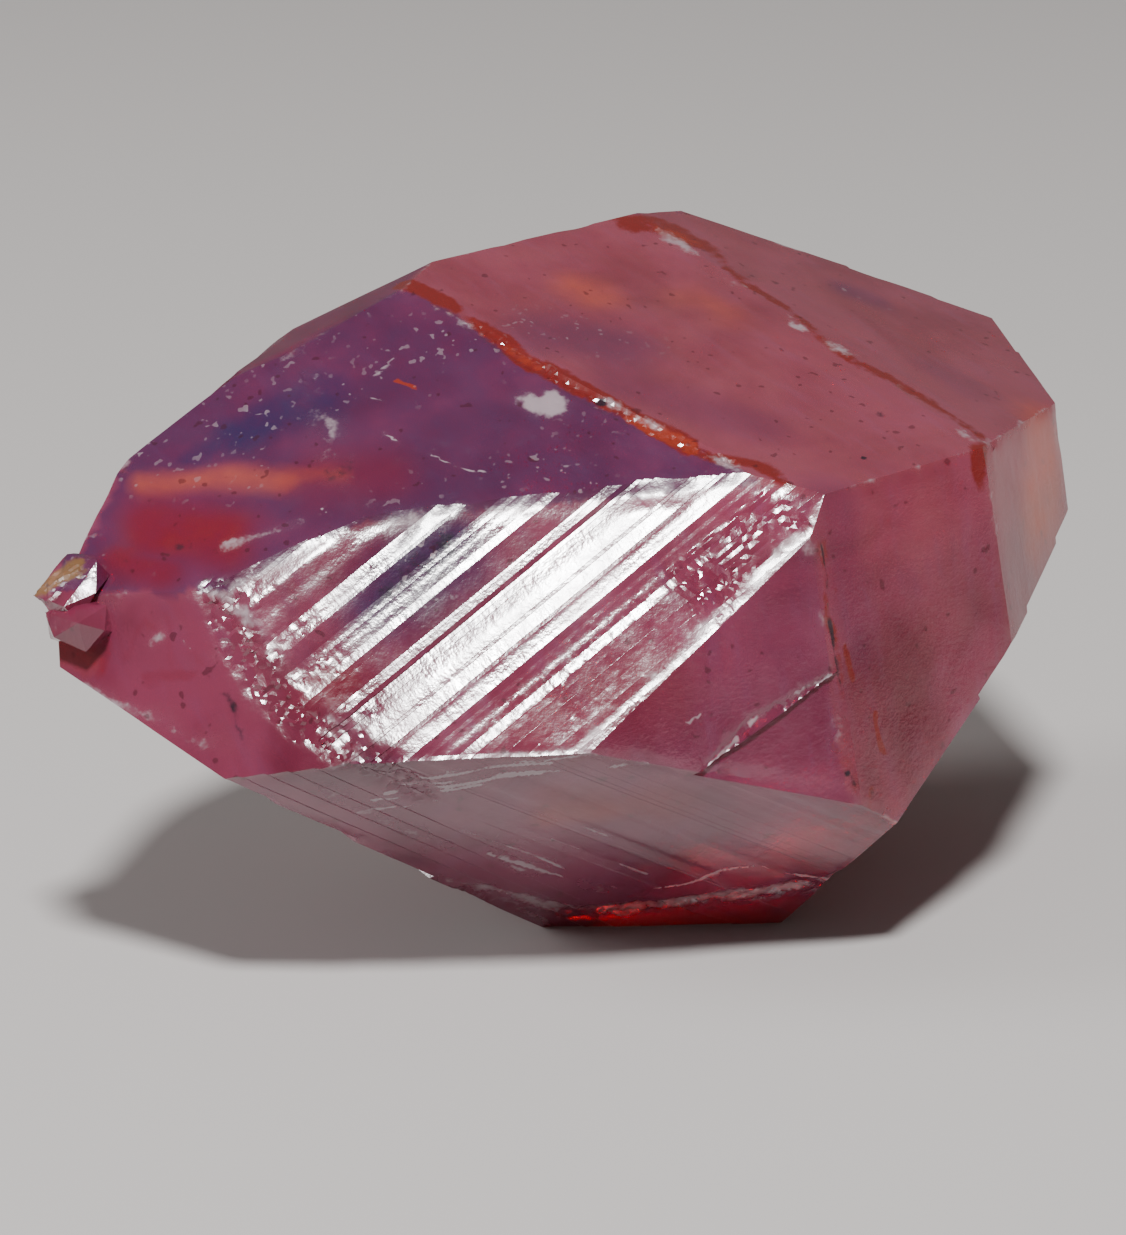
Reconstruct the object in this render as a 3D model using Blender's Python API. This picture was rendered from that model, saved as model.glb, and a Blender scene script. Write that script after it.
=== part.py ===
"""Double terminated ruby crystal, modelled as one solid that rests on a broken facet.

The long axis of the crystal lies along X with the chipped, tapering end at -X and the blunt end
at +X. Every flat face is cut from a block with a plane. A plane is given by how far its outward
direction tilts from the long axis, how far it is turned round that axis, and its distance from
the middle of the crystal. Growth steps, ridges, chips and etch pits are then carved in.
"""

import math
import random
from itertools import product

import bmesh
import bpy
from mathutils import Matrix, Vector

MM = 0.001

NODE_NAME = "ruby_crystal"
BLOCK_SIDE = 16.0 * MM
CUT_TOLERANCE = 1.0e-8

# The long axis rises by this angle towards the blunt end when the crystal rests.
AXIS_LEAN = math.radians(1.0)
# The broken resting facet lies this far below the middle.
REST_DROP = 2.79 * MM

# name: (tilt from the long axis in degrees, turn round it in degrees, distance in mm).
# A tilt under 90 belongs to the blunt end, 90 to the girdle, above 90 to the chipped end.
# A turn of 0 faces -Y and a turn of 90 faces up.
FACES = {
    "girdle_upper": (90.0, 72.0, 1.93),
    "girdle_front": (90.0, 12.0, 2.52),
    "girdle_back_upper": (90.0, 132.0, 3.22),
    "girdle_back": (90.0, 192.0, 2.49),
    "tip_upper": (110.1, 68.0, 2.00),
    "tip_upper_flat": (118.8, 72.0, 2.36),
    "tip_striated": (122.4, 42.0, 2.16),
    "tip_front": (110.1, 12.0, 2.42),
    "tip_lower": (118.8, -48.0, 2.53),
    "tip_smooth": (139.0, 37.0, 2.96),
    "tip_under": (118.8, -108.0, 2.82),
    "tip_edge_strip": (105.0, 106.0, 3.06),
    "tip_back_upper": (107.0, 127.0, 3.50),
    "tip_back_flat": (118.8, 132.0, 3.98),
    "tip_back_end": (122.4, 162.0, 4.12),
    "tip_back_under": (118.8, 192.0, 3.75),
    "blunt_upper": (78.0, 72.0, 2.32),
    "blunt_front": (66.0, 12.0, 3.14),
    "blunt_lower": (61.2, -46.5, 2.89),
    "blunt_back_upper": (61.2, 132.0, 4.24),
    "blunt_top": (57.6, 102.0, 3.92),
    "blunt_shoulder": (33.0, 8.0, 4.20),
    "blunt_side": (57.6, -18.0, 3.43),
    "blunt_back": (61.2, 192.0, 3.32),
    "blunt_under": (61.2, -108.0, 3.41),
    "blunt_back_under": (57.6, 222.0, 3.34),
    "blunt_end": (0.0, 0.0, 5.00),
}

# Ridges along the striated face: their direction, the widest and narrowest band, their depth.
STRIATION_ANGLE = math.radians(-77.0)
STRIATION_BAND = (0.06, 0.24)
STRIATION_DEPTH = (0.015, 0.075)
STRIATION_SPAN = 3.6
STRIATION_SEED = 11

# Flights of growth steps: face, direction of the step lines in degrees, position of each step
# across those lines in mm, depth of one step in mm. The steps go down towards larger positions.
GROWTH_STEPS = (
    ("tip_front", 112.0, (0.94,), 0.045),
    ("tip_lower", 74.4, (0.62, 0.86, 1.05, 1.22, 1.40), 0.014),
    ("tip_lower", 86.0, (0.83,), 0.030),
    ("tip_under", 0.0, (1.1, 2.0, 2.9), 0.035),
    ("tip_back_under", 0.0, (2.2, 2.9), 0.035),
    ("tip_back_upper", 0.0, (0.8, 1.5), 0.030),
    ("blunt_lower", 180.0, (0.2, 1.3, 2.4, 3.3), 0.040),
    ("blunt_under", 180.0, (0.9, 1.9), 0.040),
    ("blunt_back", 180.0, (1.4, 2.3, 3.1), 0.040),
    ("blunt_back_under", 180.0, (0.8, 1.8, 2.9), 0.035),
    ("blunt_top", 180.0, (2.2, 2.9), 0.030),
    ("blunt_shoulder", 180.0, (1.9,), 0.030),
    ("girdle_back", 180.0, (1.2, 1.7), 0.030),
    ("girdle_back", 0.0, (2.0, 2.6), 0.030),
)
STEP_RUN = 0.03
STEP_CLEARANCE = 1.2
CUTTER_REACH = 9.0

# Broken strips: face, path over the face (across and along it, in mm), how far the chips stray
# from the path, how many chips there are, and their smallest and largest radius in mm.
CHIP_STRIPS = (
    ("tip_striated", ((1.00, 3.30), (0.45, 3.12), (-0.35, 3.00), (-0.80, 2.95)), 0.17, 34, (0.07, 0.15)),
    ("tip_lower", ((0.15, 2.85), (-0.25, 2.60), (-0.55, 2.30)), 0.12, 9, (0.07, 0.12)),
    ("girdle_upper", ((2.30, 0.97), (0.90, 0.70), (-0.20, 0.50), (-1.20, 0.30)), 0.05, 13, (0.05, 0.11)),
    ("tip_lower", ((-1.66, 0.15), (-1.25, -0.65), (-0.66, -1.80)), 0.08, 12, (0.09, 0.19)),
    ("girdle_front", ((0.20, 0.15), (-0.90, 0.15), (-1.60, 0.15)), 0.03, 6, (0.04, 0.08)),
    ("girdle_upper", ((2.20, -2.08), (0.60, -2.08), (-1.70, -2.08)), 0.04, 6, (0.05, 0.10)),
    ("girdle_front", ((-0.90, -2.05), (0.70, -2.05)), 0.03, 3, (0.05, 0.09)),
    ("girdle_back", ((-2.28, -2.00), (-2.28, 1.00)), 0.05, 7, (0.08, 0.16)),
    ("girdle_back", ((2.20, -0.90), (2.22, 0.05)), 0.04, 3, (0.06, 0.12)),
    ("tip_back_end", ((-0.50, 1.25), (-0.06, 3.00)), 0.05, 5, (0.06, 0.12)),
    ("tip_under", ((0.90, -0.10), (-1.00, -1.40)), 0.05, 6, (0.08, 0.14)),
    ("blunt_lower", ((-1.90, -1.10), (-1.20, -3.30)), 0.05, 5, (0.08, 0.15)),
    ("blunt_end", ((1.40, -0.20), (1.20, -1.30), (0.00, -1.05)), 0.05, 6, (0.06, 0.13)),
    ("tip_upper", ((2.10, 0.95), (1.60, 0.80), (0.60, 0.35), (-0.40, 0.10)), 0.10, 7, (0.04, 0.08)),
    ("tip_upper_flat", ((2.30, 1.60), (1.90, 2.10), (1.30, 1.90)), 0.22, 10, (0.04, 0.07)),
    ("tip_upper_flat", ((1.80, 4.10), (2.10, 3.70)), 0.10, 5, (0.05, 0.09)),
)
CHIP_SEED = 6
CHIP_LIFT = 0.35

# Lumps of the broken, stained tip: middle of each lump in mm from the middle of the crystal, half
# its length, depth and height in mm, and how far its length dips in degrees.
TIP_LUMPS = (
    ((-4.65, 1.70, 0.70), (0.35, 0.30, 0.15), -40.0),
    ((-4.75, 1.50, 0.45), (0.25, 0.35, 0.20), -15.0),
)
LUMP_CORNER_SHARE = 0.65
LUMP_UNEVENNESS = 0.12
LUMP_SEED = 2
TIP_CHIPS = (
    ((-4.80, 1.35, 0.80), 0.08),
    ((-5.00, 1.30, 0.55), 0.05),
)
GRAIN_ROUGHNESS = 0.25

# Shallow three-sided growth pits: face, place on it in mm, radius in mm, turn in degrees, and
# how much longer than wide the pit is.
GROWTH_PITS = (
    ("tip_smooth", (0.88, 3.42), 0.27, 14.0, 1.1),
    ("tip_smooth", (0.72, 3.12), 0.20, 40.0, 0.8),
    ("tip_smooth", (0.98, 3.88), 0.15, -20.0, 1.4),
    ("blunt_end", (0.45, -0.60), 0.34, 0.0, 1.0),
    ("blunt_end", (-0.20, -0.20), 0.22, 0.0, 1.0),
    ("blunt_back", (-1.30, -2.60), 0.30, 60.0, 1.2),
    ("blunt_back_under", (0.10, -2.20), 0.28, 0.0, 1.2),
    ("girdle_back", (0.30, 0.40), 0.32, 90.0, 1.4),
    ("girdle_back", (-0.90, -0.80), 0.22, 90.0, 1.2),
)
PIT_DEPTH = 0.035

# The open crack at the front corner, where the upper ridge ends: the face that each of its points
# lies on, and its place there in mm.
CRACK_PATH = (
    ("girdle_upper", -1.00, 0.15),
    ("girdle_upper", -1.35, 0.10),
    ("girdle_upper", -1.65, 0.15),
    ("girdle_front", 0.55, 0.15),
)
CRACK_RADIUS = 0.045

MERGE_DISTANCE = 0.0015

STONE_COLOUR = (0.46, 0.13, 0.17, 1.0)
STONE_ROUGHNESS = 0.28
RUBY_REFRACTION = 1.77


def remove_old_objects():
    """Empty the scene so that the script always starts from nothing."""
    for old in list(bpy.data.objects):
        bpy.data.objects.remove(old, do_unlink=True)


def face_direction(name):
    """Outward direction of a named face."""
    tilt, turn, _ = FACES[name]
    tilt = math.radians(tilt)
    turn = math.radians(turn)
    return Vector((
        math.cos(tilt),
        -math.sin(tilt) * math.cos(turn),
        math.sin(tilt) * math.sin(turn),
    ))


def face_frame(name):
    """Foot of a face in mm and its own axes: round the crystal, along it, outward."""
    _, turn, distance = FACES[name]
    outward = face_direction(name)
    turn = math.radians(turn)
    level = Vector((0.0, math.sin(turn), math.cos(turn)))
    rise = outward.cross(level)
    return outward * distance, level, rise, outward


def point_on_face(name, across, along, above=0.0):
    """Place in mm of a spot on a face, given in the face's own axes."""
    foot, level, rise, outward = face_frame(name)
    return foot + level * across + rise * along + outward * above


def point_on_path(path, share):
    """Spot at a share of the length of a path of two-number points."""
    lengths = [math.dist(a, b) for a, b in zip(path, path[1:])]
    left = share * sum(lengths)
    for start, end, length in zip(path, path[1:], lengths):
        if left <= length:
            part = left / length
            return tuple(s + (e - s) * part for s, e in zip(start, end))
        left -= length
    return path[-1]


def new_object(name, bm):
    """Turn a finished bmesh into an object of the scene."""
    bmesh.ops.recalc_face_normals(bm, faces=bm.faces[:])
    mesh = bpy.data.meshes.new(name)
    bm.to_mesh(mesh)
    bm.free()
    made = bpy.data.objects.new(name, mesh)
    bpy.context.scene.collection.objects.link(made)
    return made


def cut_with_plane(bm, place, outward):
    """Remove everything outside a plane and close the cut with one flat face."""
    cut = bmesh.ops.bisect_plane(
        bm,
        geom=bm.verts[:] + bm.edges[:] + bm.faces[:],
        dist=CUT_TOLERANCE,
        plane_co=place,
        plane_no=outward,
        clear_outer=True,
    )
    rim = [item for item in cut["geom_cut"] if isinstance(item, bmesh.types.BMEdge)]
    if rim:
        bmesh.ops.edgeloop_fill(bm, edges=rim)


def make_flat_faced_body():
    """Cut all the flat faces of the crystal from a block."""
    bm = bmesh.new()
    bmesh.ops.create_cube(bm, size=BLOCK_SIDE)
    for name in FACES:
        foot, _, _, outward = face_frame(name)
        cut_with_plane(bm, foot * MM, outward)
    return new_object(NODE_NAME, bm)


def combine(body, tool, operation, tool_overlaps_itself=False):
    """Join a tool to the body or carve it out of it, then remove the tool."""
    tool.hide_render = True
    tool.display_type = "WIRE"
    step = body.modifiers.new("combine", "BOOLEAN")
    step.operation = operation
    step.solver = "EXACT"
    step.use_self = tool_overlaps_itself
    step.object = tool
    view = bpy.context.evaluated_depsgraph_get()
    result = bpy.data.meshes.new_from_object(body.evaluated_get(view))
    old = body.data
    body.modifiers.remove(step)
    body.data = result
    bpy.data.meshes.remove(old)
    bpy.data.objects.remove(tool, do_unlink=True)


def make_profile_cutter(name, face, line_angle, profile):
    """Slab over a face whose lower side follows a profile of (position, height) in mm."""
    foot, level, rise, outward = face_frame(face)
    lines = level * math.cos(line_angle) + rise * math.sin(line_angle)
    across = rise * math.cos(line_angle) - level * math.sin(line_angle)
    outline = [(profile[0][0], STEP_CLEARANCE)]
    outline += list(profile)
    outline.append((profile[-1][0], STEP_CLEARANCE))
    bm = bmesh.new()
    start = foot - lines * CUTTER_REACH
    corners = [bm.verts.new((start + across * t + outward * h) * MM) for t, h in outline]
    end_face = bm.faces.new(corners)
    swept = bmesh.ops.extrude_face_region(bm, geom=[end_face])
    moved = [item for item in swept["geom"] if isinstance(item, bmesh.types.BMVert)]
    bmesh.ops.translate(bm, verts=moved, vec=lines * 2.0 * CUTTER_REACH * MM)
    return new_object(name, bm)


def carve_striations(body):
    """Cut the long uneven ridges into the striated face."""
    rng = random.Random(STRIATION_SEED)
    position = -STRIATION_SPAN
    profile = []
    while position < STRIATION_SPAN:
        width = rng.uniform(*STRIATION_BAND)
        profile.append((position, -rng.uniform(*STRIATION_DEPTH)))
        profile.append((position + width - STEP_RUN, -rng.uniform(*STRIATION_DEPTH)))
        position += width
    cutter = make_profile_cutter("striations", "tip_striated", STRIATION_ANGLE, profile)
    combine(body, cutter, "DIFFERENCE")


def carve_growth_steps(body):
    """Cut the flights of low growth steps."""
    for face, angle, places, depth in GROWTH_STEPS:
        profile = [(places[0], -depth)]
        for number, place in enumerate(places[1:], start=1):
            profile.append((place, -depth * number))
            profile.append((place + STEP_RUN, -depth * (number + 1)))
        profile.append((CUTTER_REACH, -depth * len(places)))
        cutter = make_profile_cutter("growth_steps", face, math.radians(angle), profile)
        combine(body, cutter, "DIFFERENCE")


def add_rough_grain(bm, place, radius, rng):
    """Add a small uneven grain to a tool."""
    made = bmesh.ops.create_icosphere(
        bm,
        subdivisions=1,
        radius=radius * MM,
        matrix=Matrix.Translation(place * MM) @ Matrix.Rotation(rng.uniform(0.0, 6.0), 4, "Z"),
    )
    for vert in made["verts"]:
        vert.co += (vert.co - place * MM) * rng.uniform(-GRAIN_ROUGHNESS, GRAIN_ROUGHNESS)


def carve_chips(body):
    """Break small chips out of edges and faces."""
    rng = random.Random(CHIP_SEED)
    for face, path, stray, count, radii in CHIP_STRIPS:
        bm = bmesh.new()
        for number in range(count):
            across, along = point_on_path(path, (number + rng.random()) / count)
            across += rng.uniform(-stray, stray)
            along += rng.uniform(-stray, stray)
            radius = rng.uniform(*radii)
            place = point_on_face(face, across, along, radius * CHIP_LIFT)
            add_rough_grain(bm, place, radius, rng)
        combine(body, new_object("chips", bm), "DIFFERENCE", tool_overlaps_itself=True)


def lump_corners(middle, half_sizes, dip, rng):
    """Corners in mm of an uneven lump: a block with its corners cut back."""
    lean = Matrix.Rotation(math.radians(dip), 3, "Y")
    corners = []
    for signs in product((-1, 0, 1), repeat=3):
        sides_met = sum(abs(sign) for sign in signs)
        if sides_met not in (1, 3):
            continue
        share = 1.0 if sides_met == 1 else LUMP_CORNER_SHARE
        share *= rng.uniform(1.0 - LUMP_UNEVENNESS, 1.0 + LUMP_UNEVENNESS)
        offset = Vector([sign * half * share for sign, half in zip(signs, half_sizes)])
        corners.append(Vector(middle) + lean @ offset)
    return corners


def add_tip_lumps(body):
    """Grow the lumps of the broken tip onto the body, then chip them."""
    rng = random.Random(LUMP_SEED)
    for middle, half_sizes, dip in TIP_LUMPS:
        bm = bmesh.new()
        verts = [bm.verts.new(corner * MM) for corner in lump_corners(middle, half_sizes, dip, rng)]
        bmesh.ops.convex_hull(bm, input=verts)
        combine(body, new_object("tip_lump", bm), "UNION")
    rng = random.Random(CHIP_SEED)
    bm = bmesh.new()
    for place, radius in TIP_CHIPS:
        add_rough_grain(bm, Vector(place), radius, rng)
    combine(body, new_object("tip_chips", bm), "DIFFERENCE", tool_overlaps_itself=True)


def carve_growth_pits(body):
    """Press the shallow three-sided growth pits into the flat faces."""
    for face, (across, along), radius, turn, stretch in GROWTH_PITS:
        _, level, rise, outward = face_frame(face)
        depth = 4.0 * PIT_DEPTH
        place = point_on_face(face, across, along, depth / 2.0 - PIT_DEPTH)
        turned = Matrix((level, rise, outward)).transposed().to_4x4()
        turned = turned @ Matrix.Rotation(math.radians(turn), 4, "Z")
        turned = turned @ Matrix.Diagonal((stretch, 1.0, 1.0, 1.0))
        bm = bmesh.new()
        bmesh.ops.create_cone(
            bm,
            cap_ends=True,
            segments=3,
            radius1=radius * 0.75 * MM,
            radius2=radius * 1.35 * MM,
            depth=depth * MM,
            matrix=Matrix.Translation(place * MM) @ turned,
        )
        combine(body, new_object("growth_pit", bm), "DIFFERENCE")


def carve_crack(body):
    """Open the short crack at the front corner."""
    bm = bmesh.new()
    points = [point_on_face(face, across, along) for face, across, along in CRACK_PATH]
    for start, end in zip(points, points[1:]):
        way = end - start
        turned = way.to_track_quat("Z", "Y").to_matrix().to_4x4()
        bmesh.ops.create_cone(
            bm,
            cap_ends=True,
            segments=4,
            radius1=CRACK_RADIUS * MM,
            radius2=CRACK_RADIUS * 0.8 * MM,
            depth=(way.length + CRACK_RADIUS) * MM,
            matrix=Matrix.Translation((start + end) * 0.5 * MM) @ turned,
        )
    combine(body, new_object("crack", bm), "DIFFERENCE", tool_overlaps_itself=True)


def sweep_crumbs(bm):
    """Remove crumbs that the chips cut loose, so that only the crystal is left."""
    waiting = set(bm.verts)
    islands = []
    while waiting:
        island = {waiting.pop()}
        front = list(island)
        while front:
            vert = front.pop()
            for edge in vert.link_edges:
                other = edge.other_vert(vert)
                if other in waiting:
                    waiting.remove(other)
                    island.add(other)
                    front.append(other)
        islands.append(island)
    islands.sort(key=len)
    for island in islands[:-1]:
        bmesh.ops.delete(bm, geom=list(island), context="VERTS")


def set_down(body):
    """Lean the crystal, break its underside flat and stand it on the ground."""
    bm = bmesh.new()
    bm.from_mesh(body.data)
    sweep_crumbs(bm)
    bmesh.ops.rotate(
        bm,
        verts=bm.verts[:],
        cent=Vector((0.0, 0.0, 0.0)),
        matrix=Matrix.Rotation(-AXIS_LEAN, 3, "Y"),
    )
    cut_with_plane(bm, Vector((0.0, 0.0, -REST_DROP)), Vector((0.0, 0.0, -1.0)))
    xs = [vert.co.x for vert in bm.verts]
    ys = [vert.co.y for vert in bm.verts]
    shift = Vector((-(min(xs) + max(xs)) / 2.0, -(min(ys) + max(ys)) / 2.0, REST_DROP))
    bmesh.ops.translate(bm, verts=bm.verts[:], vec=shift)
    bmesh.ops.dissolve_degenerate(bm, edges=bm.edges[:], dist=MERGE_DISTANCE * MM)
    bmesh.ops.triangulate(bm, faces=bm.faces[:])
    bmesh.ops.dissolve_degenerate(bm, edges=bm.edges[:], dist=MERGE_DISTANCE * MM)
    bmesh.ops.triangulate(bm, faces=bm.faces[:])
    bmesh.ops.recalc_face_normals(bm, faces=bm.faces[:])
    bm.to_mesh(body.data)
    bm.free()


def give_ruby_material(body):
    """Give the crystal its own cloudy pink-red material."""
    material = bpy.data.materials.new("ruby")
    material.use_nodes = True
    shader = material.node_tree.nodes["Principled BSDF"]
    shader.inputs["Base Color"].default_value = STONE_COLOUR
    shader.inputs["Roughness"].default_value = STONE_ROUGHNESS
    shader.inputs["Metallic"].default_value = 0.0
    shader.inputs["IOR"].default_value = RUBY_REFRACTION
    material.diffuse_color = STONE_COLOUR
    body.data.materials.clear()
    body.data.materials.append(material)


def main():
    remove_old_objects()
    body = make_flat_faced_body()
    carve_striations(body)
    carve_growth_steps(body)
    carve_growth_pits(body)
    add_tip_lumps(body)
    carve_chips(body)
    carve_crack(body)
    set_down(body)
    give_ruby_material(body)


main()
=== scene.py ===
"""Studio scene of the double terminated ruby crystal: the detailed see-through stone on a pale floor."""

import math
import random
from itertools import product

import bmesh
import bpy
import numpy as np
from mathutils import Euler, Matrix, Vector
from mathutils.geometry import delaunay_2d_cdt


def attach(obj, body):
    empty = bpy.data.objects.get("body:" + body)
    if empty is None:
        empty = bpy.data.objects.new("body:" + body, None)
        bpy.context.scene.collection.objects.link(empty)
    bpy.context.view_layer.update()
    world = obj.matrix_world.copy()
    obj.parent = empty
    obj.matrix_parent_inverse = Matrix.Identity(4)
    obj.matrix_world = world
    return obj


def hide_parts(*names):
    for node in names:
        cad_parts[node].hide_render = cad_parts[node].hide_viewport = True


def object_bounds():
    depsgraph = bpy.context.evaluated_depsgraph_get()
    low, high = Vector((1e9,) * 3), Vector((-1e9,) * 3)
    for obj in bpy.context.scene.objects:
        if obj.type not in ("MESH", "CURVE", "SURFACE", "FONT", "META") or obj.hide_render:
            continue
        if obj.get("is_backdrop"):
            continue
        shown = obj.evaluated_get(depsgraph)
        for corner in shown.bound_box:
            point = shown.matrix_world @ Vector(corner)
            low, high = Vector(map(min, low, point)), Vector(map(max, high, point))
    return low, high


MM = 0.001
MM_IN_METRE = 1000.0
FAR_AWAY = 1.0e9
TINY = 1.0e-12
SHORTEST_SQUARED = 1.0e-9
BLOCK_SIDE = 16.0 * MM
CUT_TOLERANCE = 1.0e-8
AXIS_LEAN = math.radians(1.0)
REST_DROP = 2.79 * MM

# name: (tilt from the long axis in degrees, turn round it in degrees, distance in mm).
FACES = {
    "girdle_upper": (90.0, 72.0, 1.93),
    "girdle_front": (90.0, 12.0, 2.52),
    "girdle_back_upper": (90.0, 132.0, 3.22),
    "girdle_back": (90.0, 192.0, 2.49),
    "tip_upper": (110.1, 68.0, 2.00),
    "tip_upper_flat": (118.8, 72.0, 2.36),
    "tip_striated": (122.4, 42.0, 2.16),
    "tip_front": (110.1, 12.0, 2.42),
    "tip_lower": (118.8, -48.0, 2.53),
    "tip_smooth": (139.0, 37.0, 2.96),
    "tip_under": (118.8, -108.0, 2.82),
    "tip_edge_strip": (105.0, 106.0, 3.06),
    "tip_back_upper": (107.0, 127.0, 3.50),
    "tip_back_flat": (118.8, 132.0, 3.98),
    "tip_back_end": (122.4, 162.0, 4.12),
    "tip_back_under": (118.8, 192.0, 3.75),
    "blunt_upper": (78.0, 72.0, 2.32),
    "blunt_front": (66.0, 12.0, 3.14),
    "blunt_lower": (61.2, -46.5, 2.89),
    "blunt_back_upper": (61.2, 132.0, 4.24),
    "blunt_top": (57.6, 102.0, 3.92),
    "blunt_shoulder": (33.0, 8.0, 4.20),
    "blunt_side": (57.6, -18.0, 3.43),
    "blunt_back": (61.2, 192.0, 3.32),
    "blunt_under": (61.2, -108.0, 3.41),
    "blunt_back_under": (57.6, 222.0, 3.34),
    "blunt_end": (0.0, 0.0, 5.00),
}

# Ridges of the striated face. Broad bands: where each ends across the ridges in mm, how many
# degrees it is tilted, and how much finer lines stray from that tilt.
BAND_START = -2.05
RIDGE_BANDS = (
    (-1.30, -1.5, 0.8),
    (-0.98, -1.0, 3.0),
    (-0.70, -4.0, 3.0),
    (-0.62, 5.0, 4.0),
    (-0.38, -5.0, 3.0),
    (-0.10, 3.0, 8.0),
    (0.20, 4.6, 3.5),
    (0.32, 0.0, 9.0),
    (0.52, -6.0, 3.0),
    (0.68, 4.5, 6.0),
    (0.90, -4.0, 6.0),
    (1.10, 1.0, 9.0),
    (1.42, -5.0, 4.0),
    (1.56, 4.0, 6.0),
    (2.10, -3.0, 3.0),
)
RIDGE_ANGLE = math.radians(-77.0)
RIDGE_LINE = (0.020, 0.055)
RIDGE_BASE = -0.045
RIDGE_SEED = 23
RIDGE_REACH = 3.6
RIDGE_FALL = 0.004
# How often the surface climbs back after a line, the share of the way it climbs, and how far in mm
# the last line of a band may run over its end.
RIDGE_RETURN_CHANCE = 0.45
RIDGE_RETURN = (0.2, 0.9)
RIDGE_OVERRUN = 1.0e-4

# Fainter ridges of the long lower face, in the same form.
LOWER_START = -2.2
LOWER_BANDS = (
    (-1.50, 0.6, 1.2),
    (-1.10, -1.5, 1.5),
    (-0.70, 1.8, 2.5),
    (-0.20, -1.2, 2.5),
    (0.35, 1.4, 2.5),
    (0.80, -1.4, 2.0),
    (1.40, 0.8, 2.0),
    (2.20, -0.6, 1.5),
)
LOWER_ANGLE = math.radians(-101.0)
LOWER_BASE = -0.012
LOWER_SEED = 31

GROWTH_STEPS = (
    ("tip_front", 112.0, (0.94,), 0.045),
    ("tip_lower", 74.4, (0.62, 0.86, 1.05, 1.22, 1.40), 0.014),
    ("tip_lower", 86.0, (0.83,), 0.030),
    ("tip_under", 0.0, (1.1, 2.0, 2.9), 0.035),
    ("tip_back_under", 0.0, (2.2, 2.9), 0.035),
    ("tip_back_upper", 0.0, (0.8, 1.5), 0.030),
    ("blunt_lower", 180.0, (0.2, 1.3, 2.4, 3.3), 0.040),
    ("blunt_under", 180.0, (0.9, 1.9), 0.040),
    ("blunt_back", 180.0, (1.4, 2.3, 3.1), 0.040),
    ("blunt_back_under", 180.0, (0.8, 1.8, 2.9), 0.035),
    ("blunt_top", 180.0, (2.2, 2.9), 0.030),
    ("blunt_shoulder", 180.0, (1.9,), 0.030),
    ("girdle_back", 180.0, (1.2, 1.7), 0.030),
    ("girdle_back", 0.0, (2.0, 2.6), 0.030),
)
STEP_RUN = 0.03
STEP_CLEARANCE = 1.2
CUTTER_REACH = 9.0

# Lumps of the broken tip: middle in mm, half of length, depth and height in mm, dip in degrees.
TIP_LUMPS = (
    ((-4.65, 1.70, 0.70), (0.35, 0.30, 0.15), -40.0),
    ((-4.75, 1.50, 0.45), (0.25, 0.35, 0.20), -15.0),
)
LUMP_CORNER_SHARE = 0.65
LUMP_UNEVENNESS = 0.12
LUMP_SEED = 2

# The photo, and how its camera stands to the middle of the crystal, in mm and degrees.
PHOTO_WIDTH = 1126
PHOTO_HEIGHT = 1235
CAMERA_PLACE = (-29.85, -30.18, 12.70)
CAMERA_TILT = math.radians(73.0)
CAMERA_TURN = math.radians(-44.0)
CAMERA_LENS = 150.0
CAMERA_SENSOR = 36.0
FOCAL_PIXELS = CAMERA_LENS / CAMERA_SENSOR * PHOTO_HEIGHT

# Zones and marks, read in the photo. Each row: strength, radius in photo pixels, the face
# that the mark lies on, and its path in photo pixels.
# Iron stain along the seams and in cracks.
STAINS = (
    (0.90, 12, "tip_upper", ((398, 274), (450, 302), (480, 322))),
    (1.00, 13, "tip_upper", ((480, 322), (520, 352), (560, 380), (600, 400))),
    (1.00, 15, "tip_upper", ((600, 400), (640, 424), (690, 446))),
    (0.80, 12, "tip_upper", ((690, 446), (740, 462), (790, 474))),
    (0.80, 22, "girdle_upper", ((630, 222), (660, 222), (700, 238))),
    (0.75, 12, "girdle_upper", ((700, 240), (750, 282), (800, 318), (859, 364), (931, 400), (975, 432))),
    (0.90, 14, "girdle_front", ((982, 445), (979, 469))),
    (0.45, 12, "girdle_front", ((979, 469), (978, 520), (1000, 600))),
    (0.90, 4.5, "girdle_front", ((843, 645), (852, 678))),
    (0.90, 4.5, "girdle_front", ((876, 715), (881, 750))),
    (0.70, 4, "girdle_front", ((868, 788), (866, 815))),
    (0.50, 4, "girdle_front", ((835, 560), (838, 590))),
)
# Brighter orange inside the stain, and two red needles.
EMBERS = (
    (0.90, 12, "tip_upper", ((630, 424), (695, 448))),
    (0.60, 8, "tip_upper", ((500, 342), (540, 366))),
    (0.60, 16, "girdle_upper", ((660, 226), (695, 236))),
    (1.00, 3.2, "tip_upper_flat", ((290, 376), (304, 390))),
    (1.00, 3, "tip_upper", ((395, 381), (416, 391))),
)
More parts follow.
